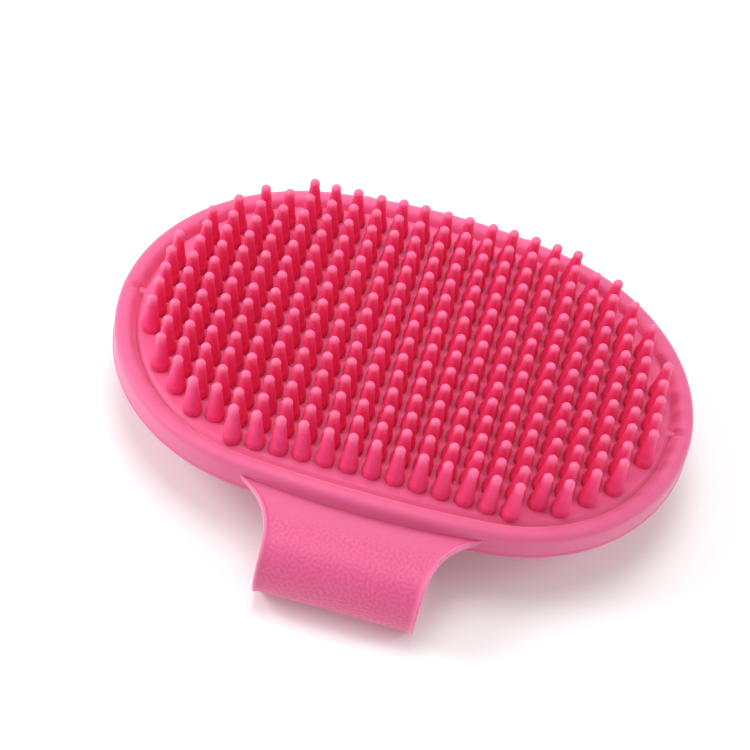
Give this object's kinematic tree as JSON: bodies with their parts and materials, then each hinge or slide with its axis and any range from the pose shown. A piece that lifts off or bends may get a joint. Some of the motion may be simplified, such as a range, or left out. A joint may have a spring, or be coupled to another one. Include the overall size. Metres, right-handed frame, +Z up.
{
  "type": "rubber curry brush",
  "caption": "Oval rubber grooming pad with a field of soft round-tipped pins, a rolled rim, and a two-piece hand strap closed under the pad by pegs in slots.",
  "frame": {"origin": "under the middle of the pad, on the flat sole of the strap that the brush stands on", "axes": "+X along the long axis of the oval pad, +Y across it along the hand strap, away from the half with the slots, +Z up, the way the pins point"},
  "size_m": [0.1288, 0.1126, 0.0304],
  "materials": {
    "pad_rubber": "smooth, slightly translucent",
    "rim_rubber": "smooth satin, slightly translucent",
    "pin_rubber": "smooth satin, slightly translucent",
    "strap_rubber": "fine pebble grain on the outer face, satin",
    "peg_rubber": "smooth satin"
  },
  "bodies": {
    "pad": {"pad_base": "pad_rubber", "rim_bead": "rim_rubber", "pin_row_01": "pin_rubber", "pin_row_02": "pin_rubber", "pin_row_03": "pin_rubber", "pin_row_04": "pin_rubber", "pin_row_05": "pin_rubber", "pin_row_06": "pin_rubber", "pin_row_07": "pin_rubber", "pin_row_08": "pin_rubber", "pin_row_09": "pin_rubber", "pin_row_10": "pin_rubber", "pin_row_11": "pin_rubber", "pin_row_12": "pin_rubber", "pin_row_13": "pin_rubber", "pin_row_14": "pin_rubber", "pin_row_15": "pin_rubber"},
    "outer_strap": {"strap_outer_half": "strap_rubber"},
    "inner_strap": {"strap_inner_half": "strap_rubber", "strap_peg_left": "peg_rubber", "strap_peg_right": "peg_rubber"}
  },
  "joints": [
    {"name": "outer_strap_root", "type": "hinge", "parent": "pad", "child": "outer_strap", "pos_m": [0, -0.0451, 0.0178], "axis": [-1, 0, 0], "range_deg": [0, 90], "stiffness_Nm_per_rad": 0.02},
    {"name": "inner_strap_root", "type": "hinge", "parent": "pad", "child": "inner_strap", "pos_m": [0, 0.0451, 0.015], "axis": [1, 0, 0], "range_deg": [-10, 0], "stiffness_Nm_per_rad": 0.05}
  ]
}
